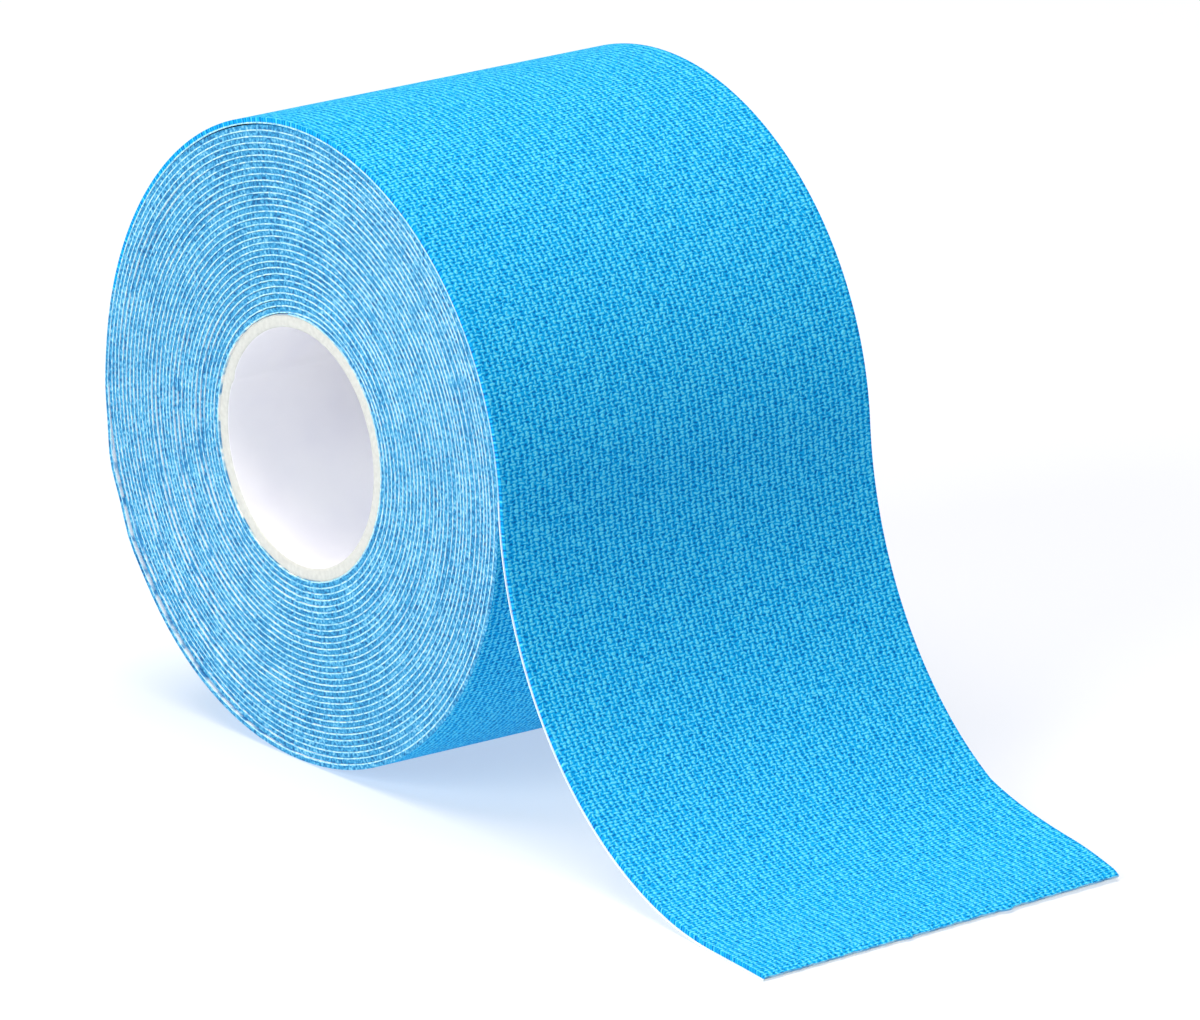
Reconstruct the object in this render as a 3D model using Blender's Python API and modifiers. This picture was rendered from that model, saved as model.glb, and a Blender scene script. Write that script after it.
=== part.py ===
"""A roll of elastic cotton adhesive tape on its backing paper, wound on a moulded core.

The roll stands on a table and its tail is drawn off the front, curves down and lies on the table.
Metres, +Z up. +Y is the roll's axis and +X is the way the tail runs. The origin is on the table,
under the middle of the roll. The tape's adhesive is a coat on the fabric, so it is no solid.
"""

import math

import bmesh
import bpy
import numpy as np

# The tape and its backing paper
TAPE_WIDTH = 0.0500
FABRIC_THICKNESS = 0.00021
LINER_THICKNESS = 0.00011
LAYER_CLEARANCE = 0.00030

# The core
CORE_BORE_DIAMETER = 0.0265
CORE_WALL = 0.00145
CORE_RIM_CHAMFER = 0.00025
CORE_FACETS = 64

# The winding: whole turns, and where it starts and ends, clockwise from the top seen from the front.
# The fabric's first turn sticks to the core, and the paper starts one turn later. The fabric is
# two solids, inner and outer turns, because one of 23 turns is too much to split for collision.
WHOLE_TURNS = 23
INNER_TURNS = 12
START_ANGLE = math.radians(-7.5)
LIFT_OFF_ANGLE = math.radians(86.0)
POINTS_PER_TURN = 24
STANDING_FLAT_DEPTH = 0.00050
WHOLE_STEP_SLACK = 1e-6

# The tail that has been drawn off, and the end of its fabric that peels off the paper
TAIL_FLAT_LENGTH = 0.0094
TAIL_SIDEWAYS_DRIFT = 0.0050
TAIL_CUT_SKEW = 0.0014
TAIL_SWEEP_POINTS = 18
END_FLAP_LENGTH = 0.0150
END_CLEARANCE = 0.00030

# Worked out from the sizes above
FULL_TURN = 2 * math.pi
CORE_RADIUS = CORE_BORE_DIAMETER / 2 + CORE_WALL
LAYER_STEP = (FABRIC_THICKNESS + LINER_THICKNESS) / 2 + LAYER_CLEARANCE
TURN_PITCH = 2 * LAYER_STEP
FABRIC_START_RADIUS = CORE_RADIUS + LAYER_CLEARANCE + FABRIC_THICKNESS / 2
LINER_INSET = LAYER_STEP
FABRIC_INSET = 0.0
POINT_STEP = FULL_TURN / POINTS_PER_TURN
END_ANGLE = WHOLE_TURNS * FULL_TURN + LIFT_OFF_ANGLE
SPLIT_ANGLE = START_ANGLE + INNER_TURNS * FULL_TURN
LAST_BOTTOM_ANGLE = END_ANGLE - LIFT_OFF_ANGLE - math.pi

BLUE_COTTON = (0.012, 0.376, 0.871, 1.0)
WHITE_PAPER = (0.880, 0.890, 0.880, 1.0)
CREAM_PLASTIC = (0.870, 0.860, 0.820, 1.0)


def radius_at(angle, inset):
    """The spiral's radius after this much winding. inset is how far a strip lies inside the fabric."""
    return FABRIC_START_RADIUS - inset + TURN_PITCH * (angle - START_ANGLE) / FULL_TURN


# A turn's lowest facet already lies inside its circle. The rest of the standing flat is
# the roll's own give: full on the outermost turn, and fading to nothing at the core.
OUTER_BOTTOM_RADIUS = radius_at(LAST_BOTTOM_ANGLE, FABRIC_INSET)
OUTER_FACET_RISE = OUTER_BOTTOM_RADIUS * (1 - math.cos(POINT_STEP / 2))
OUTER_GIVE = max(STANDING_FLAT_DEPTH - OUTER_FACET_RISE, 0.0)
AXIS_HEIGHT = FABRIC_THICKNESS / 2 + OUTER_BOTTOM_RADIUS - OUTER_FACET_RISE - OUTER_GIVE


def settled_height(radius):
    """Height of a turn's lowest facet, pressed flat by the roll's weight."""
    share = (radius - CORE_RADIUS) / (OUTER_BOTTOM_RADIUS - CORE_RADIUS)
    return AXIS_HEIGHT - radius * math.cos(POINT_STEP / 2) + OUTER_GIVE * share


def point_on_winding(angle, inset):
    """A point on the middle line of a wound strip, clockwise from the top seen from the front."""
    radius = radius_at(angle, inset)
    bottom_angle = round((angle - math.pi) / FULL_TURN) * FULL_TURN + math.pi
    height = AXIS_HEIGHT + radius * math.cos(angle)
    if abs(angle - bottom_angle) < 0.75 * POINT_STEP:
        height = settled_height(radius_at(bottom_angle, inset))
    return (radius * math.sin(angle), 0.0, height)


def winding_line(start_angle, end_angle, inset):
    """The middle line of a wound strip, with its corners at the same angles in every turn."""
    first_corner = math.floor((start_angle - START_ANGLE) / POINT_STEP + WHOLE_STEP_SLACK) + 1
    after_last = math.ceil((end_angle - START_ANGLE) / POINT_STEP - WHOLE_STEP_SLACK)
    corners = [START_ANGLE + step * POINT_STEP for step in range(first_corner, after_last)]
    return [point_on_winding(angle, inset) for angle in [start_angle] + corners + [end_angle]]


# The tail leaves the roll along its tangent, turns on one arc and meets the table level.
LIFT_OFF_LINER = point_on_winding(END_ANGLE, LINER_INSET)
LIFT_OFF_FABRIC = point_on_winding(END_ANGLE, FABRIC_INSET)
LINER_SWEEP_RADIUS = (LIFT_OFF_LINER[2] - LINER_THICKNESS / 2) / (1 - math.cos(LIFT_OFF_ANGLE))
FABRIC_SWEEP_RADIUS = LINER_SWEEP_RADIUS - LAYER_STEP
SWEEP_CENTRE_X = LIFT_OFF_LINER[0] + LINER_SWEEP_RADIUS * math.sin(LIFT_OFF_ANGLE)
SWEEP_CENTRE_Z = LINER_THICKNESS / 2 + LINER_SWEEP_RADIUS
SWEEP_LENGTH = LINER_SWEEP_RADIUS * LIFT_OFF_ANGLE
TAIL_LENGTH = SWEEP_LENGTH + TAIL_FLAT_LENGTH
END_FLAP_START = TAIL_LENGTH - END_FLAP_LENGTH


def point_on_tail(run, sweep_radius):
    """A point on the tail, this far along it from the lift-off line."""
    drift = -TAIL_SIDEWAYS_DRIFT * (run / TAIL_LENGTH) ** 2
    if run < SWEEP_LENGTH:
        slope = LIFT_OFF_ANGLE - run / LINER_SWEEP_RADIUS
        x = SWEEP_CENTRE_X - sweep_radius * math.sin(slope)
        return (x, drift, SWEEP_CENTRE_Z - sweep_radius * math.cos(slope))
    return (SWEEP_CENTRE_X + run - SWEEP_LENGTH, drift, SWEEP_CENTRE_Z - sweep_radius)


def tail_line(start_run, end_run, sweep_radius):
    """The middle line of a stretch of the tail, with points shared by the strips that lie together."""
    shared = [SWEEP_LENGTH * step / TAIL_SWEEP_POINTS for step in range(1, TAIL_SWEEP_POINTS + 1)]
    between = [run for run in shared if start_run + END_CLEARANCE < run < end_run - END_CLEARANCE]
    return [point_on_tail(run, sweep_radius) for run in [start_run] + between + [end_run]]


def new_material(name, colour, roughness):
    material = bpy.data.materials.new(name)
    material.use_nodes = True
    shader = material.node_tree.nodes["Principled BSDF"]
    shader.inputs["Base Color"].default_value = colour
    shader.inputs["Roughness"].default_value = roughness
    shader.inputs["Metallic"].default_value = 0.0
    material.diffuse_color = colour
    return material


def link(name, mesh, material, collection, origin=(0.0, 0.0, 0.0)):
    piece = bpy.data.objects.new(name, mesh)
    piece.location = origin
    mesh.materials.append(material)
    collection.objects.link(piece)
    return piece


def bake_modifiers(piece):
    """Gives the piece its finished mesh, smooth along its curve and sharp at its cut edges."""
    bpy.context.view_layer.update()
    finished = piece.evaluated_get(bpy.context.evaluated_depsgraph_get())
    piece.data = bpy.data.meshes.new_from_object(finished)
    piece.modifiers.clear()
    piece.data.shade_smooth()
    piece.data.set_sharp_from_angle(angle=math.radians(30))


def strip(name, line, thickness, material, collection, origin=(0.0, 0.0, 0.0), cut_skew=0.0):
    """A strip on its middle line: the line drawn out to the tape's width, then thickened evenly."""
    mesh = bpy.data.meshes.new(name)
    drawing = bmesh.new()
    near_edge = []
    for x, y, z in line:
        corner = (x - origin[0], y - origin[1] - TAPE_WIDTH / 2, z - origin[2])
        near_edge.append(drawing.verts.new(corner))
    edges = [drawing.edges.new(pair) for pair in zip(near_edge, near_edge[1:])]
    near_end = near_edge[-1]
    drawn = bmesh.ops.extrude_edge_only(drawing, edges=edges)
    far_edge = [item for item in drawn["geom"] if isinstance(item, bmesh.types.BMVert)]
    far_end = min(far_edge, key=lambda corner: (corner.co - near_end.co).length)
    bmesh.ops.translate(drawing, verts=far_edge, vec=(0.0, TAPE_WIDTH, 0.0))
    near_end.co.x += cut_skew
    far_end.co.x -= cut_skew
    drawing.to_mesh(mesh)
    drawing.free()
    piece = link(name, mesh, material, collection, origin)
    solidify = piece.modifiers.new("thickness", "SOLIDIFY")
    solidify.thickness = thickness
    solidify.offset = 0.0
    solidify.use_even_offset = True
    bake_modifiers(piece)
    return piece


def core_tube(material, collection):
    """The moulded core, turned from its wall's section with both rims chamfered."""
    inner = CORE_BORE_DIAMETER / 2
    half = TAPE_WIDTH / 2
    cut = CORE_RIM_CHAMFER
    section = [
        (CORE_RADIUS, half - cut),
        (CORE_RADIUS, cut - half),
        (CORE_RADIUS - cut, -half),
        (inner + cut, -half),
        (inner, cut - half),
        (inner, half - cut),
        (inner + cut, half),
        (CORE_RADIUS - cut, half),
    ]
    mesh = bpy.data.meshes.new("core_tube")
    corners = [(radius, 0.0, along) for radius, along in section]
    ring = [(i, (i + 1) % len(section)) for i in range(len(section))]
    mesh.from_pydata(corners, ring, [])
    piece = link("core_tube", mesh, material, collection, (0.0, 0.0, AXIS_HEIGHT))
    piece.rotation_euler = (math.pi / 2, 0.0, 0.0)
    screw = piece.modifiers.new("turned", "SCREW")
    screw.axis = "Z"
    screw.steps = CORE_FACETS
    screw.render_steps = CORE_FACETS
    screw.use_merge_vertices = True
    screw.merge_threshold = 0.00001
    bake_modifiers(piece)
    return piece


def least_gap(line, other, own_points, thickness):
    """Least gap between a strip's points and another stretch's segments, both taken at full thickness.

    own_points is how many neighbours along the same strip to leave out, or 0 for another strip.
    """
    points = np.array(line)[:, [0, 2]]
    starts = np.array(other)[:-1, [0, 2]]
    along = np.array(other)[1:, [0, 2]] - starts
    least = math.inf
    for index, point in enumerate(points):
        share = np.clip(((point - starts) * along).sum(1) / (along * along).sum(1), 0.0, 1.0)
        distance = np.linalg.norm(starts + share[:, None] * along - point, axis=1)
        near = np.abs(np.arange(len(starts)) - index) < own_points
        distance[near] = math.inf
        least = min(least, float(distance.min()))
    return least - thickness


def build():
    for leftover in list(bpy.data.objects):
        bpy.data.objects.remove(leftover, do_unlink=True)
    roll = bpy.data.collections.new("adhesive_tape_roll")
    bpy.context.scene.collection.children.link(roll)

    cotton = new_material("elastic_cotton_tape", BLUE_COTTON, 0.85)
    paper = new_material("backing_paper", WHITE_PAPER, 0.60)
    plastic = new_material("core_plastic", CREAM_PLASTIC, 0.45)

    core_tube(plastic, roll)

    # The paper is one strip. The fabric's inner and outer turns meet end to end.
    liner_line = winding_line(START_ANGLE + FULL_TURN, END_ANGLE, LINER_INSET)
    strip("liner_winding", liner_line, LINER_THICKNESS, paper, roll)
    half_gap_angle = END_CLEARANCE / 2 / radius_at(SPLIT_ANGLE, FABRIC_INSET)
    inner_line = winding_line(START_ANGLE, SPLIT_ANGLE - half_gap_angle, FABRIC_INSET)
    outer_line = winding_line(SPLIT_ANGLE + half_gap_angle, END_ANGLE, FABRIC_INSET)
    strip("fabric_inner_winding", inner_line, FABRIC_THICKNESS, cotton, roll)
    strip("fabric_outer_winding", outer_line, FABRIC_THICKNESS, cotton, roll)

    # The tail turns about the lift-off line on the fabric's outer face
    outer_radius = math.hypot(LIFT_OFF_FABRIC[0], LIFT_OFF_FABRIC[2] - AXIS_HEIGHT)
    outer_radius += FABRIC_THICKNESS / 2
    lift_axis_x = outer_radius * math.sin(LIFT_OFF_ANGLE)
    lift_axis_z = AXIS_HEIGHT + outer_radius * math.cos(LIFT_OFF_ANGLE)
    lift_axis = (lift_axis_x, 0.0, lift_axis_z)
    fabric_end = END_FLAP_START - END_CLEARANCE / 2
    fabric_run = tail_line(END_CLEARANCE, fabric_end, FABRIC_SWEEP_RADIUS)
    liner_run = tail_line(END_CLEARANCE, TAIL_LENGTH, LINER_SWEEP_RADIUS)
    strip("fabric_tail", fabric_run, FABRIC_THICKNESS, cotton, roll, lift_axis)
    strip("liner_tail", liner_run, LINER_THICKNESS, paper, roll, lift_axis, TAIL_CUT_SKEW)

    # The fabric's end turns about the peel line on the fabric's upper face
    peel_axis = point_on_tail(END_FLAP_START, FABRIC_SWEEP_RADIUS - FABRIC_THICKNESS / 2)
    peel_axis = (peel_axis[0], 0.0, peel_axis[2])
    flap_start = END_FLAP_START + END_CLEARANCE / 2
    flap_run = tail_line(flap_start, TAIL_LENGTH, FABRIC_SWEEP_RADIUS)
    strip("fabric_end_flap", flap_run, FABRIC_THICKNESS, cotton, roll, peel_axis, TAIL_CUT_SKEW)

    mm = 1000
    own = POINTS_PER_TURN // 2
    fabric_line = winding_line(START_ANGLE, END_ANGLE, FABRIC_INSET)
    fabric_gap = least_gap(fabric_line, fabric_line, own, FABRIC_THICKNESS)
    liner_gap = least_gap(liner_line, liner_line, own, LINER_THICKNESS)
    between = least_gap(fabric_line, liner_line, 0, (FABRIC_THICKNESS + LINER_THICKNESS) / 2)
    turns = (END_ANGLE - START_ANGLE) / FULL_TURN
    print(f"turns {turns:.2f}, pitch {TURN_PITCH * mm:.3f} mm, axis height {AXIS_HEIGHT * mm:.3f} mm")
    print(f"least gap of the fabric to itself {fabric_gap * mm:.3f} mm, of the paper {liner_gap * mm:.3f} mm")
    print(f"least gap between fabric and paper {between * mm:.3f} mm")
    print(f"lift axis x {lift_axis_x * mm:.4f} z {lift_axis_z * mm:.4f} mm")
    print(f"peel axis x {peel_axis[0] * mm:.4f} z {peel_axis[2] * mm:.4f} mm")
    print(f"tail {TAIL_LENGTH * mm:.2f} mm long, sweep radius {LINER_SWEEP_RADIUS * mm:.2f} mm")
    print(f"tail end x {(SWEEP_CENTRE_X + TAIL_FLAT_LENGTH) * mm:.2f} mm")


build()
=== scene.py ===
import math

import bpy
import numpy as np
from mathutils import Matrix, Vector


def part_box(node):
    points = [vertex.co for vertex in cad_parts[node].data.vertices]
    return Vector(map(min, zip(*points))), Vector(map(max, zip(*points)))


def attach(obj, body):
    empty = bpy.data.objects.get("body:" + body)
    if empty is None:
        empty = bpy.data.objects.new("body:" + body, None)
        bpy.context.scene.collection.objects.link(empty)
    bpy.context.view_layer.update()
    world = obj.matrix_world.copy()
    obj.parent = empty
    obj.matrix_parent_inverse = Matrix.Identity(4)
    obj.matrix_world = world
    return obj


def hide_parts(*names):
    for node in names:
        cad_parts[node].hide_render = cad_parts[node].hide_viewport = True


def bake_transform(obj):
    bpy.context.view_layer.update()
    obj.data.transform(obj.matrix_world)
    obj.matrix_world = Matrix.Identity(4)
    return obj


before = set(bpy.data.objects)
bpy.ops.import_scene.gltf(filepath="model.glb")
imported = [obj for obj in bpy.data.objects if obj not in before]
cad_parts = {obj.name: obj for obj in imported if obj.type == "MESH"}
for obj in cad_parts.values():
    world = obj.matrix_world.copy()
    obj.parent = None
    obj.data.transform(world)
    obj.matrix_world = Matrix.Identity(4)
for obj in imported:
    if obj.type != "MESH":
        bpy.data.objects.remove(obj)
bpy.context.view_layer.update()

# ---- Camera ---------------------------------------------------------------------------------
# A long lens a good way off, round to the right of the wound face and a little above it.
# The direction, distance and lens come from fitting the outlines of the roll, core and tail.
CAMERA_TURN = math.radians(52.36)
CAMERA_RISE = math.radians(17.29)
CAMERA_ROLL = math.radians(0.15)
CAMERA_DISTANCE = 1.500
CAMERA_ASIDE = 0.01269
CAMERA_BELOW = 0.01146
AIMED_HEIGHT = 0.03575
FRAME_WIDTH_IN_PIXELS = 1200
LENS_IN_PIXELS = 13745
NEAR_CLIP = 0.1
FAR_CLIP = 20.0

camera = bpy.data.objects.new("camera", bpy.data.cameras.new("camera"))
bpy.context.collection.objects.link(camera)
camera.data.lens = camera.data.sensor_width * LENS_IN_PIXELS / FRAME_WIDTH_IN_PIXELS
camera.data.clip_start = NEAR_CLIP
camera.data.clip_end = FAR_CLIP
backwards = Vector((
    math.sin(CAMERA_TURN) * math.cos(CAMERA_RISE),
    -math.cos(CAMERA_TURN) * math.cos(CAMERA_RISE),
    math.sin(CAMERA_RISE),
))
rightwards = Vector((math.cos(CAMERA_TURN), math.sin(CAMERA_TURN), 0.0))
upwards = backwards.cross(rightwards)
rolled_right = math.cos(CAMERA_ROLL) * rightwards + math.sin(CAMERA_ROLL) * upwards
rolled_up = math.cos(CAMERA_ROLL) * upwards - math.sin(CAMERA_ROLL) * rightwards
place = Vector((0.0, 0.0, AIMED_HEIGHT)) + CAMERA_DISTANCE * backwards
place += CAMERA_ASIDE * rolled_right - CAMERA_BELOW * rolled_up
turned = Matrix((rolled_right, rolled_up, backwards)).transposed()
camera.matrix_world = Matrix.Translation(place) @ turned.to_4x4()
bpy.context.scene.camera = camera
bpy.context.scene.view_settings.view_transform = "Standard"


# ---- Core -----------------------------------------------------------------------------------
# A short tube of white polystyrene, injection moulded, that the tape is wound on. Its bore is
# glossy from the mould's pin, and its cut rims are matt, with a bead of flash left on one edge.
CORE_RADIUS = 0.01470
BORE_RADIUS = 0.01325
CORE_HALF_WIDTH = 0.02500
RIM_ROUNDING = 0.00030
ROUNDING_STEPS = 3
CORE_SIDES = 192
CAP_FACING = 0.9
RIM_FACING = 0.3
CORE_SMOOTH_BELOW = math.radians(35)
FLASH_ANGLE = math.radians(292)
FLASH_SPREAD = math.radians(3.5)
FLASH_DEPTH = 0.00030
FLASH_BEHIND_RIM = 0.00070
FLASH_ROUND_BORE = 0.00050
FLASH_RAGGEDNESS = 0.25
FLASH_WAVES = 9

core_low, core_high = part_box("core_tube")
axis_height = (core_low[2] + core_high[2]) / 2


def deselect_all():
    for other in bpy.context.selected_objects:
        other.select_set(False)


def linear(hex_colour, alpha=1.0):
    """An sRGB hex colour as the linear values that a shader works in."""
    parts = [int(hex_colour[i:i + 2], 16) / 255 for i in (1, 3, 5)]
    return tuple(
        p / 12.92 if p <= 0.04045 else ((p + 0.055) / 1.055) ** 2.4 for p in parts
    ) + (alpha,)


def add_node(material, kind, settings=(), inputs=(), stops=()):
    """A node with its settings, its inputs set or linked, and the stops of its colour ramp."""
    tree = material.node_tree
    node = tree.nodes.new(kind)
    for name, value in dict(settings).items():
        setattr(node, name, value)
    for name, value in dict(inputs).items():
        if isinstance(value, bpy.types.NodeSocket):
            tree.links.new(value, node.inputs[name])
        else:
            node.inputs[name].default_value = value
    for count, (position, colour) in enumerate(stops):
        if count >= len(node.color_ramp.elements):
            node.color_ramp.elements.new(position)
        node.color_ramp.elements[count].position = position
        node.color_ramp.elements[count].color = linear(colour)
    return node


def new_material(name, roughness, sheen=0.0, specular=0.5):
    material = bpy.data.materials.new(name)
    material.use_nodes = True
    shader = material.node_tree.nodes["Principled BSDF"]
    shader.inputs["Roughness"].default_value = roughness
    shader.inputs["Sheen Weight"].default_value = sheen
    shader.inputs["Specular IOR Level"].default_value = specular
    return material, shader


# Moulded polystyrene: nearly white with a warm cast, faintly clouded, glossy where the pin was
bore_plastic, shader = new_material("moulded white polystyrene, glossy bore", 0.28)
links = bore_plastic.node_tree.links
where = add_node(bore_plastic, "ShaderNodeTexCoord").outputs["Object"]
cloud = add_node(bore_plastic, "ShaderNodeTexNoise", inputs={"Vector": where, "Scale": 140.0})
clouded = add_node(
    bore_plastic, "ShaderNodeValToRGB", inputs={"Fac": cloud.outputs["Fac"]},
    stops=[(0.3, "#F4F3F8"), (0.7, "#FBFAFC")],
)
links.new(clouded.outputs["Color"], shader.inputs["Base Color"])
ripple = add_node(bore_plastic, "ShaderNodeTexNoise", inputs={"Vector": where, "Scale": 900.0})
bump = add_node(
    bore_plastic, "ShaderNodeBump",
    inputs={"Height": ripple.outputs["Fac"], "Distance": 0.000004, "Strength": 0.5},
)
links.new(bump.outputs["Normal"], shader.inputs["Normal"])

# The same plastic where it was cut: creamier and matt, with the fine scratches of the blade,
# greyed as painted shade
rim_plastic, shader = new_material("moulded white polystyrene, cut rim, painted shade", 0.55)
links = rim_plastic.node_tree.links
where = add_node(rim_plastic, "ShaderNodeTexCoord").outputs["Object"]
scratch = add_node(rim_plastic, "ShaderNodeTexNoise", inputs={"Vector": where, "Scale": 1800.0})
# The cream is the rim's own; the grey in these stops is painted shade, holding the rim down under
# the strong front light
scratches_and_painted_shade = add_node(
    rim_plastic, "ShaderNodeValToRGB", inputs={"Fac": scratch.outputs["Fac"]},
    stops=[(0.3, "#C8C7BE"), (0.7, "#D6D5CC")],
)
links.new(scratches_and_painted_shade.outputs["Color"], shader.inputs["Base Color"])
bump = add_node(
    rim_plastic, "ShaderNodeBump",
    inputs={"Height": scratch.outputs["Fac"], "Distance": 0.00002, "Strength": 0.6},
)
links.new(bump.outputs["Normal"], shader.inputs["Normal"])

deselect_all()
bpy.ops.mesh.primitive_cylinder_add(
    vertices=CORE_SIDES, radius=CORE_RADIUS, depth=2 * CORE_HALF_WIDTH, end_fill_type="NGON",
    location=(0.0, 0.0, axis_height), rotation=(math.pi / 2, 0.0, 0.0),
)
core = bpy.context.object
core.name = "moulded_core"
bpy.ops.object.transform_apply(location=True, rotation=True, scale=True)
bpy.ops.object.mode_set(mode="EDIT")
bpy.ops.mesh.select_mode(type="FACE")
bpy.ops.mesh.select_all(action="DESELECT")
bpy.ops.object.mode_set(mode="OBJECT")
for face in core.data.polygons:
    face.select = abs(face.normal.y) > CAP_FACING
bpy.ops.object.mode_set(mode="EDIT")
bpy.ops.mesh.inset(thickness=CORE_RADIUS - BORE_RADIUS)
bpy.ops.mesh.bridge_edge_loops()
bpy.ops.object.mode_set(mode="OBJECT")
rounding = core.modifiers.new("rounded rims", "BEVEL")
rounding.width = RIM_ROUNDING
rounding.segments = ROUNDING_STEPS
rounding.limit_method = "ANGLE"
bpy.ops.object.modifier_apply(modifier="rounded rims")
bpy.ops.object.mode_set(mode="EDIT")
bpy.ops.mesh.select_all(action="SELECT")
bpy.ops.mesh.remove_doubles(threshold=0.000001)
bpy.ops.mesh.normals_make_consistent(inside=False)
bpy.ops.object.mode_set(mode="OBJECT")

# The flash: the bore's front edge stands in a little, over a few degrees
for corner in core.data.vertices:
    radius = math.hypot(corner.co.x, corner.co.z - axis_height)
    turn = math.atan2(corner.co.x, corner.co.z - axis_height) % (2 * math.pi)
    behind_rim = corner.co.y + CORE_HALF_WIDTH
    if behind_rim < FLASH_BEHIND_RIM and radius < BORE_RADIUS + FLASH_ROUND_BORE:
        off = (turn - FLASH_ANGLE) / FLASH_SPREAD
        ragged = 1 - FLASH_RAGGEDNESS + FLASH_RAGGEDNESS * math.sin(off * FLASH_WAVES)
        inwards = FLASH_DEPTH * math.exp(-off * off) * ragged
        corner.co.x *= 1 - inwards / radius
        corner.co.z = axis_height + (corner.co.z - axis_height) * (1 - inwards / radius)
core.data.materials.append(bore_plastic)
core.data.materials.append(rim_plastic)
for face in core.data.polygons:
    face.material_index = 1 if abs(face.normal.y) > RIM_FACING else 0
bpy.ops.object.shade_smooth_by_angle(angle=CORE_SMOOTH_BELOW)
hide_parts("core_tube")
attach(core, "roll")


# ---- Wound tape ------------------------------------------------------------------------------
# One strip of elastic cotton, plain woven and dyed blue, 5 m long and 50 mm wide, wound 31 times
# round the core on its backing paper. Each early turn climbs over the strip's first end. At the
# lower left the outermost turn is loose, and the last two have slid a little out of the face.
TAPE_WIDTH = 0.0500
FABRIC_THICKNESS = 0.00049
PAPER_THICKNESS = 0.00014
TURN_PITCH = 0.000681
WOUND_TURNS = 31
START_ANGLE = math.radians(-7.5)
LIFT_OFF_ANGLE = math.radians(86.0)
END_ANGLE = WOUND_TURNS * 2 * math.pi + LIFT_OFF_ANGLE
SLACK_ON_CORE = 0.00002
FIRST_RADIUS = CORE_RADIUS + PAPER_THICKNESS + FABRIC_THICKNESS / 2 + SLACK_ON_CORE
CLIMB_OVER_START = 0.20
CLIMBS_EARLY_BY = 0.075
CLIMB_FADES_OVER = 4.0
LEAST_KEPT_OF_START = 0.15
LOOSE_FROM = math.radians(172)
LOOSE_TO = math.radians(276)
LOOSE_BY = 0.00044
SPRUNG_FROM = math.radians(-62)
SPRUNG_TO = math.radians(38)
SPRUNG_BY = 0.00012
SLID_FROM = math.radians(222)
SLID_TO = math.radians(278)
SLID_OUT = 0.00036
SLID_PATCHES = 23.0
SLID_UNEVENNESS = 0.38
TURN_BELOW_SLID = 0.5
TURN_BELOW_SLID_TO = SLID_TO - math.radians(20)
RUB_WAVES = ((0.00007, 5.3, 1.0), (0.00005, 13.7, 0.0))
MOST_SETTLED = 1.2
OUTER_SEAM_ANGLE = (WOUND_TURNS - 1) * 2 * math.pi + math.radians(286)
TAIL_FLAT_LENGTH = 0.0102
TAIL_DRIFT = 0.0050
RIGHT_EDGE_LIFT = 0.0013
EDGE_LIFTS_FROM = 0.62
EDGE_LIES_FROM = 1.02
CUT_SKEW = 0.0014
FABRIC_IN_TAIL_HEIGHT = PAPER_THICKNESS + FABRIC_THICKNESS / 2


def smooth_rise(share):
    share = np.clip(share, 0.0, 1.0)
    return share * share * (3 - 2 * share)


def bulge(angle, start, end):
    """0 outside start to end, and 1 midway between them."""
    return np.sin(math.pi * np.clip((angle - start) / (end - start), 0.0, 1.0)) ** 2


def pitches_out(turns):
    """How many turns of tape lie under the strip: by steps near the core, evenly further out."""
    ahead = turns + CLIMBS_EARLY_BY
    whole = np.floor(ahead)
    stepped = whole - 1 + smooth_rise((ahead - whole) / CLIMB_OVER_START)
    fade = np.exp(-np.maximum(turns - 1, 0) / CLIMB_FADES_OVER)
    return np.where(ahead < 1, 0.0, stepped * fade + (turns - 0.5) * (1 - fade))


def pinched(angle):
    """The share of its thickness that the first end keeps under the turn that climbs over it."""
    turns = (angle - START_ANGLE) / (2 * math.pi)
    room = (pitches_out(turns + 1) * TURN_PITCH - PAPER_THICKNESS) / FABRIC_THICKNESS
    kept = np.clip(room, LEAST_KEPT_OF_START, 1.0)
    return np.where(turns < CLIMB_OVER_START, kept, 1.0)


def wound_radius(angle):
    """The radius of the fabric's middle line, with its pinched start and its loose last turn."""
    radius = FIRST_RADIUS + TURN_PITCH * pitches_out((angle - START_ANGLE) / (2 * math.pi))
    radius = radius - (1 - pinched(angle)) * FABRIC_THICKNESS / 2
    last_turn = angle - (WOUND_TURNS - 1) * 2 * math.pi
    sprung_at = last_turn - 2 * math.pi
    radius = radius + LOOSE_BY * bulge(last_turn, LOOSE_FROM, LOOSE_TO)
    return radius + SPRUNG_BY * bulge(sprung_at, SPRUNG_FROM, SPRUNG_TO)


def settled(z, radius):
    """The roll's own weight presses the lower half of its turns a little, most at the rim."""
    outer_low = wound_radius(END_ANGLE - LIFT_OFF_ANGLE - math.pi) + FABRIC_THICKNESS / 2
    give = outer_low - axis_height
    share = (radius - CORE_RADIUS) / (outer_low - CORE_RADIUS)
    below = np.clip(-z / radius, 0.0, 1.0)
    return z + give * np.clip(share, 0.0, MOST_SETTLED) * below ** 2


# The winding's angle at each length of strip, from a fine polyline
FINE_POINTS = 24000
fine_angle = np.linspace(START_ANGLE, END_ANGLE, FINE_POINTS)
fine_radius = wound_radius(fine_angle)
fine_step = np.hypot(
    np.diff(fine_radius * np.sin(fine_angle)), np.diff(fine_radius * np.cos(fine_angle))
)
fine_along = np.concatenate([[0.0], np.cumsum(fine_step)])
WOUND_LENGTH = float(fine_along[-1])
fine_along -= WOUND_LENGTH
lift_x = float(fine_radius[-1] * math.sin(LIFT_OFF_ANGLE))
lift_z = float(axis_height + fine_radius[-1] * math.cos(LIFT_OFF_ANGLE))
SWEEP_RADIUS = (lift_z - FABRIC_IN_TAIL_HEIGHT) / (1 - math.cos(LIFT_OFF_ANGLE))
SWEEP_LENGTH = SWEEP_RADIUS * LIFT_OFF_ANGLE
TAIL_LENGTH = SWEEP_LENGTH + TAIL_FLAT_LENGTH
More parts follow.
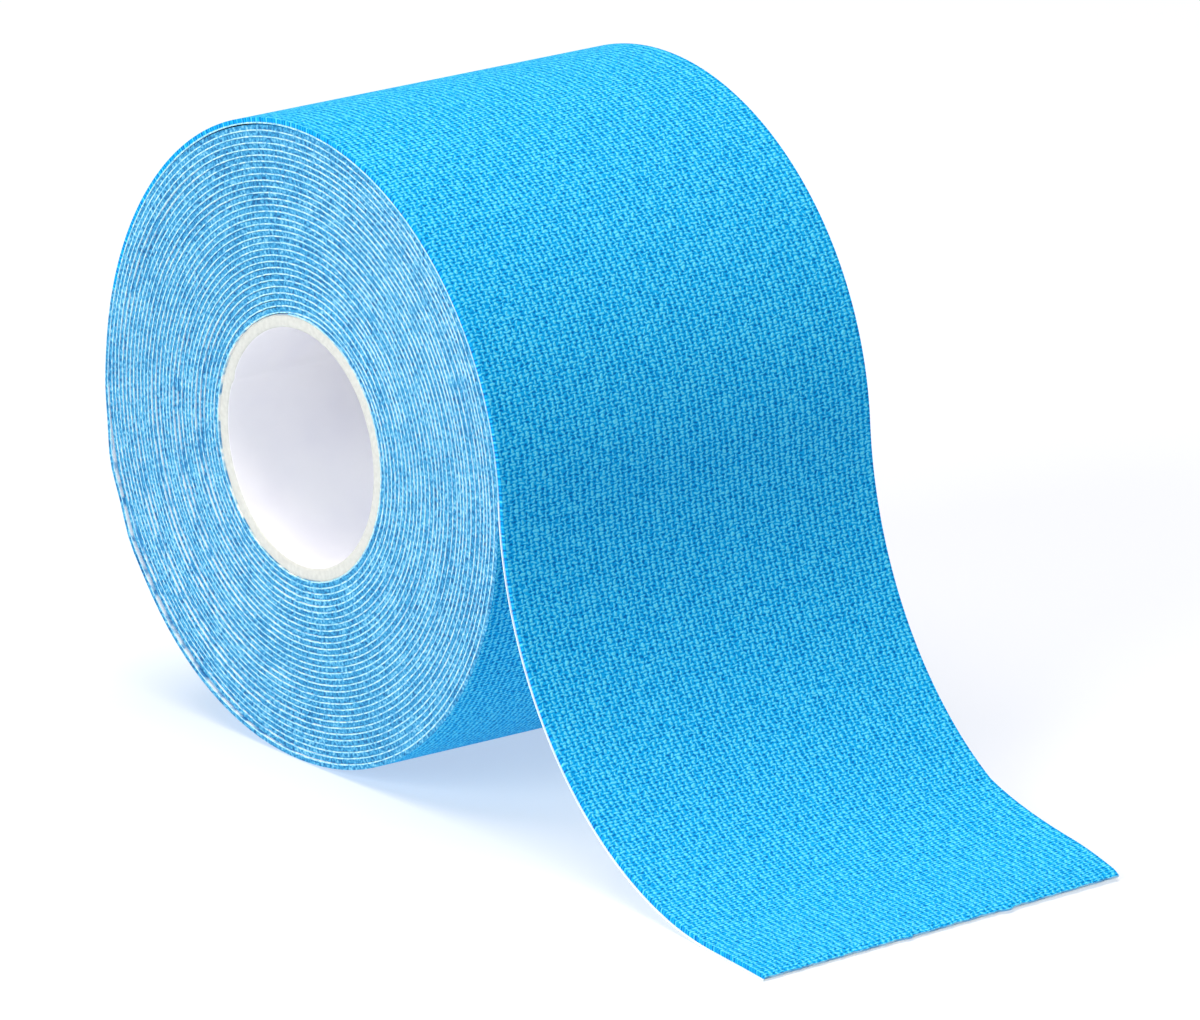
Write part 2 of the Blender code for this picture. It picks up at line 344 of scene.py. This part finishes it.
sweep_x = lift_x + SWEEP_RADIUS * math.sin(LIFT_OFF_ANGLE)
sweep_z = FABRIC_IN_TAIL_HEIGHT + SWEEP_RADIUS


def laid(along, across, inwards):
    """Points of the strip. along runs from the lift-off line, across from the middle, in metres.

    inwards is how far under the fabric's middle a point lies: towards the core, or the table.
    """
    angle = np.interp(along, fine_along, fine_angle)
    radius = wound_radius(angle)
    x = (radius - inwards) * np.sin(angle)
    z = axis_height + settled((radius - inwards) * np.cos(angle), radius)
    slope = LIFT_OFF_ANGLE - np.clip(along, 0.0, SWEEP_LENGTH) / SWEEP_RADIUS
    on_tail = along > 0.0
    tail_x = sweep_x - (SWEEP_RADIUS + inwards) * np.sin(slope)
    tail_x += np.maximum(along - SWEEP_LENGTH, 0.0)
    tail_z = sweep_z - (SWEEP_RADIUS + inwards) * np.cos(slope)
    share = np.clip(along / TAIL_LENGTH, 0.0, 1.0)
    right = np.clip(0.5 + across / TAPE_WIDTH, 0.0, 1.0)
    lift_share = np.clip((share - EDGE_LIFTS_FROM) / (EDGE_LIES_FROM - EDGE_LIFTS_FROM), 0.0, 1.0)
    tail_z += RIGHT_EDGE_LIFT * np.sin(math.pi * lift_share) * right ** 3
    x = np.where(on_tail, tail_x, x) - 2 * CUT_SKEW * across / TAPE_WIDTH * share ** 3
    z = np.where(on_tail, tail_z, z)
    turns = angle / (2 * math.pi)
    rub = sum(size * np.sin(rate * turns + phase) for size, rate, phase in RUB_WAVES)
    last_turn = angle - (WOUND_TURNS - 1) * 2 * math.pi
    slid = bulge(last_turn, SLID_FROM, SLID_TO)
    slid += TURN_BELOW_SLID * bulge(last_turn + 2 * math.pi, SLID_FROM, TURN_BELOW_SLID_TO)
    slid *= 1 - SLID_UNEVENNESS + SLID_UNEVENNESS * np.sin(SLID_PATCHES * last_turn)
    y = across + rub - SLID_OUT * slid - TAIL_DRIFT * share ** 2
    return np.stack([x, y, z], axis=-1)


# The weave in millimetres of cloth: columns of nubs, and rows that run a little slant to them
COLUMN_SPACING = 0.78
ROW_SPACING = 0.4585
ROW_SLANT = 0.0532
MM_PER_METRE = 1000
STRIP_SMOOTH_BELOW = math.radians(40)


def flat_strip(name, width, start, end, step, cells_across):
    """A strip as it is cut: flat, full size, along Y, with its UV map in millimetres."""
    cells_along = max(2, round((end - start) / step))
    deselect_all()
    bpy.ops.mesh.primitive_grid_add(
        x_subdivisions=cells_across, y_subdivisions=cells_along, size=1.0,
        location=(0.0, (start + end) / 2, 0.0),
    )
    piece = bpy.context.object
    piece.name = name
    bpy.ops.object.mode_set(mode="EDIT")
    bpy.ops.transform.resize(value=(width, end - start, 1.0))
    bpy.ops.object.mode_set(mode="OBJECT")
    bpy.ops.object.transform_apply(location=True, rotation=True, scale=True)
    spots = np.empty(len(piece.data.vertices) * 3)
    piece.data.vertices.foreach_get("co", spots)
    spots = spots.reshape(-1, 3)
    loop_vertex = np.empty(len(piece.data.loops), dtype=int)
    piece.data.loops.foreach_get("vertex_index", loop_vertex)
    weave_map = piece.data.uv_layers[0]
    weave_map.name = "cloth_mm"
    cloth = MM_PER_METRE * spots[loop_vertex][:, :2]
    cloth[:, 0] += MM_PER_METRE * width / 2
    cloth[:, 1] += ROW_SLANT * cloth[:, 0]
    weave_map.data.foreach_set("uv", cloth.astype(np.float32).ravel())
    return piece, spots


def keep_thickness(piece, kept):
    """A weight for each vertex: the share of its thickness that the strip keeps there."""
    group = piece.vertex_groups.new(name="kept_thickness")
    for vertex, share in enumerate(kept):
        group.add([vertex], float(share), "REPLACE")


def finish_strip(piece, points, thickness, materials):
    """Lays the strip on its points, thickens it about its middle and smooths its long curve."""
    piece.data.vertices.foreach_set("co", points.astype(np.float32).ravel())
    piece.data.update()
    for material in materials:
        piece.data.materials.append(material)
    deselect_all()
    bpy.context.view_layer.objects.active = piece
    piece.select_set(True)
    bpy.ops.object.mode_set(mode="EDIT")
    bpy.ops.mesh.select_all(action="SELECT")
    bpy.ops.mesh.flip_normals()
    bpy.ops.object.mode_set(mode="OBJECT")
    solidify = piece.modifiers.new("thickness", "SOLIDIFY")
    solidify.thickness = thickness
    solidify.offset = 0.0
    solidify.use_even_offset = True
    solidify.material_offset = 2
    solidify.material_offset_rim = 1
    if piece.vertex_groups:
        solidify.vertex_group = piece.vertex_groups[0].name
    bpy.ops.object.modifier_apply(modifier="thickness")
    bpy.ops.object.shade_smooth_by_angle(angle=STRIP_SMOOTH_BELOW)


# Elastic cotton tape cloth: plain weave of thick twisted yarns, dyed one bright blue and dull.
# Two cosines give the yarns' ridges. Their product is over and under, and small holes are left
# where four yarns meet. Slack yarns stray, and each nub stands a little higher or lower.
YARN_STRAY = (0.95, 0.62, 0.0)
WARP_NUB_LENGTHENING = 0.30
WARP_NUB_SLIMNESS = 9.0
WEFT_DASH_SLIMNESS = 4.5
WEFT_DASH_HEIGHT = 0.85
HOLE_DEPTH = 0.55
GROUND_HEIGHT = 0.44
TOPS_HEIGHT = 0.92
NUB_UNEVENNESS = 0.50
FIBRE_FUZZ = 0.60

blue_cotton, shader = new_material("plain-woven elastic cotton, dyed blue, painted weave shade", 0.85, 0.0, 0.10)
links = blue_cotton.node_tree.links
cloth_at = add_node(blue_cotton, "ShaderNodeUVMap", {"uv_map": "cloth_mm"}).outputs["UV"]
wander = add_node(
    blue_cotton, "ShaderNodeTexNoise", inputs={"Vector": cloth_at, "Scale": 1.4, "Detail": 2.0}
)
strayed = add_node(
    blue_cotton, "ShaderNodeVectorMath", {"operation": "MULTIPLY_ADD"},
    {0: wander.outputs["Color"], 1: YARN_STRAY, 2: cloth_at},
)
lattice = add_node(
    blue_cotton, "ShaderNodeVectorMath", {"operation": "MULTIPLY"},
    {0: strayed.outputs[0], 1: (math.pi / COLUMN_SPACING, math.pi / ROW_SPACING, 0.0)},
)
ridges = add_node(
    blue_cotton, "ShaderNodeVectorMath", {"operation": "COSINE"}, {0: lattice.outputs[0]}
)
ridge = add_node(blue_cotton, "ShaderNodeSeparateXYZ", inputs={0: ridges.outputs[0]})
crossing = add_node(
    blue_cotton, "ShaderNodeMath", {"operation": "MULTIPLY"},
    {0: ridge.outputs["X"], 1: ridge.outputs["Y"]},
)
unsigned = add_node(
    blue_cotton, "ShaderNodeVectorMath", {"operation": "ABSOLUTE"}, {0: ridges.outputs[0]}
)
flat_top = add_node(blue_cotton, "ShaderNodeSeparateXYZ", inputs={0: unsigned.outputs[0]})
long_nub = add_node(
    blue_cotton, "ShaderNodeMath", {"operation": "MULTIPLY_ADD"},
    {0: flat_top.outputs["X"], 1: WARP_NUB_LENGTHENING, 2: crossing.outputs[0]},
)
slim = add_node(
    blue_cotton, "ShaderNodeMath", {"operation": "POWER"},
    {0: flat_top.outputs["X"], 1: WARP_NUB_SLIMNESS},
)
warp_nub = add_node(
    blue_cotton, "ShaderNodeMath", {"operation": "MULTIPLY"},
    {0: long_nub.outputs[0], 1: slim.outputs[0]},
)
thin = add_node(
    blue_cotton, "ShaderNodeMath", {"operation": "POWER"},
    {0: flat_top.outputs["Y"], 1: WEFT_DASH_SLIMNESS},
)
low_thin = add_node(
    blue_cotton, "ShaderNodeMath", {"operation": "MULTIPLY"},
    {0: thin.outputs[0], 1: -WEFT_DASH_HEIGHT},
)
weft_dash = add_node(
    blue_cotton, "ShaderNodeMath", {"operation": "MULTIPLY"},
    {0: crossing.outputs[0], 1: low_thin.outputs[0]},
)
tops = add_node(
    blue_cotton, "ShaderNodeMath", {"operation": "MAXIMUM"},
    {0: warp_nub.outputs[0], 1: weft_dash.outputs[0]},
)
beside = add_node(
    blue_cotton, "ShaderNodeVectorMath", {"operation": "SUBTRACT"},
    {0: (1.0, 1.0, 1.0), 1: unsigned.outputs[0]},
)
gap = add_node(blue_cotton, "ShaderNodeSeparateXYZ", inputs={0: beside.outputs[0]})
hole = add_node(
    blue_cotton, "ShaderNodeMath", {"operation": "MULTIPLY"},
    {0: gap.outputs["X"], 1: gap.outputs["Y"]},
)
sunk = add_node(
    blue_cotton, "ShaderNodeMath", {"operation": "MULTIPLY_ADD"},
    {0: hole.outputs[0], 1: -HOLE_DEPTH, 2: GROUND_HEIGHT},
)
woven = add_node(
    blue_cotton, "ShaderNodeMath", {"operation": "MULTIPLY_ADD"},
    {0: tops.outputs[0], 1: TOPS_HEIGHT, 2: sunk.outputs[0]},
)
nubs = add_node(
    blue_cotton, "ShaderNodeTexNoise", inputs={"Vector": cloth_at, "Scale": 1.7, "Detail": 0.0}
)
nubby = add_node(
    blue_cotton, "ShaderNodeMath", {"operation": "MULTIPLY_ADD"},
    {0: nubs.outputs["Fac"], 1: NUB_UNEVENNESS, 2: woven.outputs[0]},
)
fibres = add_node(
    blue_cotton, "ShaderNodeTexNoise", inputs={"Vector": cloth_at, "Scale": 4.5, "Detail": 3.0}
)
fuzzy = add_node(
    blue_cotton, "ShaderNodeMath", {"operation": "MULTIPLY_ADD"},
    {0: fibres.outputs["Fac"], 1: FIBRE_FUZZ, 2: nubby.outputs[0]},
)
height = add_node(
    blue_cotton, "ShaderNodeMath", {"operation": "SUBTRACT"},
    {0: fuzzy.outputs[0], 1: (NUB_UNEVENNESS + FIBRE_FUZZ) / 2},
).outputs[0]
# Colour by height: the blue is the dye, and the darker holes and paler nub tops are painted shade
# and painted highlight of the weave's relief, besides the bump below
dyed = add_node(
    blue_cotton, "ShaderNodeValToRGB", inputs={"Fac": height},
    stops=[(0.06, "#0068B0"), (0.26, "#0092DA"), (0.52, "#10B1F0"), (0.85, "#60D9FB")],
)
links.new(dyed.outputs["Color"], shader.inputs["Base Color"])
bump = add_node(
    blue_cotton, "ShaderNodeBump", inputs={"Height": height, "Distance": 0.00007, "Strength": 0.7}
)
links.new(bump.outputs["Normal"], shader.inputs["Normal"])

# The slit edge of the same cloth: cut yarn ends about 0.3 mm apart, some dark with painted shade
# where a yarn has drawn in and some pale with loose fibre, and broader darker and lighter
# stretches
STRETCH_SHARE = 0.26

cut_cotton, shader = new_material("slit edge of blue elastic cotton", 0.85, 0.05, 0.15)
links = cut_cotton.node_tree.links
where = add_node(cut_cotton, "ShaderNodeTexCoord").outputs["Object"]
yarn_ends = add_node(
    cut_cotton, "ShaderNodeTexNoise", inputs={"Vector": where, "Scale": 2600.0, "Detail": 1.0}
)
stretches = add_node(
    cut_cotton, "ShaderNodeTexNoise", inputs={"Vector": where, "Scale": 420.0, "Detail": 2.0}
)
edge_tone = add_node(
    cut_cotton, "ShaderNodeMath", {"operation": "MULTIPLY_ADD"},
    {0: stretches.outputs["Fac"], 1: STRETCH_SHARE, 2: yarn_ends.outputs["Fac"]},
)
edge_tone = add_node(
    cut_cotton, "ShaderNodeMath", {"operation": "SUBTRACT"},
    {0: edge_tone.outputs[0], 1: STRETCH_SHARE / 2},
).outputs[0]
# The darker yarn ends and the edge's darker overall tone are painted shade in the gaps between the
# cut yarns; the pale ends are loose fibre
edge_colour_and_shade = add_node(
    cut_cotton, "ShaderNodeValToRGB", inputs={"Fac": edge_tone},
    stops=[(0.28, "#1E5E90"), (0.42, "#2C82B4"), (0.56, "#40A0CE"), (0.72, "#84C8E2")],
)
links.new(edge_colour_and_shade.outputs["Color"], shader.inputs["Base Color"])
bump = add_node(
    cut_cotton, "ShaderNodeBump",
    inputs={"Height": yarn_ends.outputs["Fac"], "Distance": 0.00010, "Strength": 0.7},
)
links.new(bump.outputs["Normal"], shader.inputs["Normal"])

# Acrylic adhesive on the cloth's inner side: a clear coat laid in waves, so it is slightly glossy
coated_cotton, shader = new_material("acrylic adhesive coat on blue cotton", 0.35)
links = coated_cotton.node_tree.links
cloth_at = add_node(coated_cotton, "ShaderNodeUVMap", {"uv_map": "cloth_mm"}).outputs["UV"]
waves = add_node(
    coated_cotton, "ShaderNodeTexWave", {"wave_type": "BANDS", "bands_direction": "X"},
    {"Vector": cloth_at, "Scale": 0.065, "Distortion": 3.0, "Detail": 1.0},
).outputs["Fac"]
coated = add_node(
    coated_cotton, "ShaderNodeValToRGB", inputs={"Fac": waves},
    stops=[(0.35, "#4FA9DC"), (0.65, "#8CC8E8")],
)
links.new(coated.outputs["Color"], shader.inputs["Base Color"])
bump = add_node(
    coated_cotton, "ShaderNodeBump", inputs={"Height": waves, "Distance": 0.00005, "Strength": 0.4}
)
links.new(bump.outputs["Normal"], shader.inputs["Normal"])

cotton_faces = (blue_cotton, cut_cotton, coated_cotton)
OUTER_SEAM = float(np.interp(OUTER_SEAM_ANGLE, fine_angle, fine_along))

wound_cotton, spots = flat_strip(
    "wound_cotton", TAPE_WIDTH, -WOUND_LENGTH, OUTER_SEAM, step=0.0019, cells_across=4
)
keep_thickness(wound_cotton, pinched(np.interp(spots[:, 1], fine_along, fine_angle)))
finish_strip(wound_cotton, laid(spots[:, 1], spots[:, 0], 0.0), FABRIC_THICKNESS, cotton_faces)
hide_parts("fabric_inner_winding", "fabric_outer_winding")
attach(wound_cotton, "roll")


# ---- Backing paper in the roll ---------------------------------------------------------------
# Release paper, coated smooth and white, slit with the tape and under it all the way from the
# core. The cloth draws in after slitting, so the paper's edge stands proud of it by a hair.
PAPER_CLEARANCE = 0.00001
PAPER_INWARDS = (FABRIC_THICKNESS + PAPER_THICKNESS) / 2 + PAPER_CLEARANCE
PAPER_PROUD = 0.00006
PAPER_WIDTH = TAPE_WIDTH + 2 * PAPER_PROUD

white_paper, shader = new_material("coated white release paper", 0.42)
links = white_paper.node_tree.links
where = add_node(white_paper, "ShaderNodeTexCoord").outputs["Object"]
mottle = add_node(
    white_paper, "ShaderNodeTexNoise", inputs={"Vector": where, "Scale": 260.0, "Detail": 3.0}
).outputs["Fac"]
mottled = add_node(
    white_paper, "ShaderNodeValToRGB", inputs={"Fac": mottle},
    stops=[(0.3, "#E2EFF3"), (0.7, "#F2FAFB")],
)
links.new(mottled.outputs["Color"], shader.inputs["Base Color"])
bump = add_node(
    white_paper, "ShaderNodeBump", inputs={"Height": mottle, "Distance": 0.00001, "Strength": 0.4}
)
links.new(bump.outputs["Normal"], shader.inputs["Normal"])

# Its slit edge in the roll, tinted by the dye and the adhesive that the blade drags over it
paper_edge, shader = new_material("slit edge of white release paper", 0.60, 0.0, 0.3)
links = paper_edge.node_tree.links
where = add_node(paper_edge, "ShaderNodeTexCoord").outputs["Object"]
dragged = add_node(
    paper_edge, "ShaderNodeTexNoise", inputs={"Vector": where, "Scale": 2300.0, "Detail": 2.0}
)
tinted = add_node(
    paper_edge, "ShaderNodeValToRGB", inputs={"Fac": dragged.outputs["Fac"]},
    stops=[(0.30, "#5CAEDA"), (0.46, "#9CDDF2"), (0.70, "#D6F6FC")],
)
links.new(tinted.outputs["Color"], shader.inputs["Base Color"])
bump = add_node(
    paper_edge, "ShaderNodeBump",
    inputs={"Height": dragged.outputs["Fac"], "Distance": 0.00003, "Strength": 0.5},
)
links.new(bump.outputs["Normal"], shader.inputs["Normal"])

# The same paper inside the roll, where the blue cloth's lint has rubbed onto it in patches
linted_paper, shader = new_material("release paper with blue lint", 0.55)
links = linted_paper.node_tree.links
where = add_node(linted_paper, "ShaderNodeTexCoord").outputs["Object"]
lint = add_node(
    linted_paper, "ShaderNodeTexNoise", inputs={"Vector": where, "Scale": 620.0, "Detail": 3.0}
)
linted = add_node(
    linted_paper, "ShaderNodeValToRGB", inputs={"Fac": lint.outputs["Fac"]},
    stops=[(0.38, "#4E9FD4"), (0.47, "#B8DDF0"), (0.54, "#FDFEFE")],
)
links.new(linted.outputs["Color"], shader.inputs["Base Color"])

wound_paper, spots = flat_strip(
    "wound_backing_paper", PAPER_WIDTH, -WOUND_LENGTH, OUTER_SEAM, step=0.0019, cells_across=2
)
kept = pinched(np.interp(spots[:, 1], fine_along, fine_angle))
under_cloth = PAPER_INWARDS - (1 - kept) * FABRIC_THICKNESS / 2
finish_strip(
    wound_paper, laid(spots[:, 1], spots[:, 0], under_cloth), PAPER_THICKNESS,
    (linted_paper, paper_edge, linted_paper),
)
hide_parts("liner_winding")
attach(wound_paper, "roll")


# ---- Outer turn and tail of the tape ----------------------------------------------------------
# The same strip goes on round the top of the roll, leaves it at the front, curves down and lies
# on the table. Its last 25 mm, the 15 mm flap and 10 mm before it, is built as a piece of its own.
FLAP_LENGTH = 0.0150
SEAM_BEFORE_FLAP = 0.0100
TAIL_SEAM = TAIL_LENGTH - FLAP_LENGTH - SEAM_BEFORE_FLAP

outer_faces = (blue_cotton, blue_cotton, coated_cotton)
outer_cotton, spots = flat_strip(
    "outer_cotton", TAPE_WIDTH, OUTER_SEAM, TAIL_SEAM, step=0.0010, cells_across=40
)
finish_strip(outer_cotton, laid(spots[:, 1], spots[:, 0], 0.0), FABRIC_THICKNESS, outer_faces)
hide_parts("fabric_tail")
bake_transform(outer_cotton)

# The scissors' cut: pressed thin, not quite straight, with two small tags of cloth left standing
RAGGED_WAVES = ((0.00006, 2100, 0.0), (0.00005, 5300, 1.3))
TAGS = ((0.0090, 0.0007, 0.00040), (-0.0048, 0.0006, 0.00022))
RAGGED_REACH = 0.0015
PRESSED_TO = 0.45
PRESSED_REACH = 0.0016
LONG_SIDE_FACING = 0.7

end_cotton, spots = flat_strip(
    "end_of_cotton", TAPE_WIDTH, TAIL_SEAM, TAIL_LENGTH, step=0.0005, cells_across=120
)
along, across = spots[:, 1], spots[:, 0]
ragged = sum(size * np.sin(rate * across + phase) for size, rate, phase in RAGGED_WAVES)
for tag_at, tag_width, tag_length in TAGS:
    ragged += tag_length * np.exp(-(((across - tag_at) / tag_width) ** 2))
kept = np.clip(PRESSED_TO + (TAIL_LENGTH - along) / PRESSED_REACH, PRESSED_TO, 1.0)
keep_thickness(end_cotton, kept)
points = laid(along, across, 0.0)
points[:, 0] += ragged * np.clip((along - TAIL_LENGTH) / RAGGED_REACH + 1, 0.0, 1.0)
points[:, 2] -= (1 - kept) * FABRIC_THICKNESS / 2
finish_strip(
    end_cotton, points, FABRIC_THICKNESS, (blue_cotton, coated_cotton, coated_cotton)
)
# Its long sides are the cloth's dyed edge, and only its cut end shows the coat
for face in end_cotton.data.polygons:
    if face.material_index == 1 and abs(face.normal.y) > LONG_SIDE_FACING:
        face.material_index = 0
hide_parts("fabric_end_flap")
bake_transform(end_cotton)


# ---- Outer turn and tail of the backing paper -------------------------------------------------
# The paper goes on under the tape to its cut end. On the tail it has slipped a little to the left,
# so it shows as a thin white line along that edge.
PAPER_SLIP = 0.00010
SLIPS_OVER = 0.020

tail_paper, spots = flat_strip(
    "tail_backing_paper", PAPER_WIDTH, OUTER_SEAM, TAIL_LENGTH, step=0.0010, cells_across=20
)
slip = PAPER_SLIP * smooth_rise(spots[:, 1] / SLIPS_OVER + 0.5)
finish_strip(
    tail_paper, laid(spots[:, 1], spots[:, 0] - slip, PAPER_INWARDS), PAPER_THICKNESS,
    (white_paper, white_paper, white_paper, paper_edge),
)
# On the roll its long sides are slit edges as the rest, and on the tail they stay white
for face in tail_paper.data.polygons:
    if face.material_index == 1 and face.center.z > lift_z:
        face.material_index = 3
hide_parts("liner_tail")
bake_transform(tail_paper)


# ---- Floor and studio light -------------------------------------------------------------------
# A plain pale floor that glows faintly and so stays white round the roll, a large warm soft light
# overhead, a cooler one in front of the wound face, and an even pale room.
FLOOR_SIZE = 12.0
FLOOR_BELOW_TABLE = 0.0001
FLOOR_GLOW = 0.55
ROOM_GLOW = 0.22

floor_sheet, shader = new_material("opal acrylic sheet, lit from below", 0.9, 0.0, 0.1)
shader.inputs["Base Color"].default_value = linear("#B4B6B8")
shader.inputs["Emission Color"].default_value = linear("#EAF1FC")
shader.inputs["Emission Strength"].default_value = FLOOR_GLOW
deselect_all()
bpy.ops.mesh.primitive_plane_add(size=FLOOR_SIZE, location=(0.0, 0.0, -FLOOR_BELOW_TABLE))
floor = bpy.context.object
floor.name = "studio_floor"
floor.data.materials.append(floor_sheet)


def soft_light(name, place, aim, size, power, colour):
    light = bpy.data.objects.new(name, bpy.data.lights.new(name, "AREA"))
    bpy.context.collection.objects.link(light)
    light.data.shape = "SQUARE"
    light.data.size = size
    light.data.energy = power
    light.data.color = linear(colour)[:3]
    light.location = place
    light.rotation_euler = (Vector(aim) - Vector(place)).to_track_quat("-Z", "Y").to_euler()


soft_light(
    "overhead_softbox", place=(-0.1, -0.1, 1.2), aim=(0.02, 0.0, 0.03),
    size=0.9, power=16.4, colour="#FFF3EB",
)
soft_light(
    "front_softbox", place=(0.18, -1.18, 0.58), aim=(0.0, 0.0, 0.03),
    size=0.7, power=12.6, colour="#F2F9FF",
)
room = bpy.data.worlds.new("white_room")
room.use_nodes = True
room.node_tree.nodes["Background"].inputs["Color"].default_value = linear("#EEF5FC")
room.node_tree.nodes["Background"].inputs["Strength"].default_value = ROOM_GLOW
bpy.context.scene.world = room

bpy.context.view_layer.update()
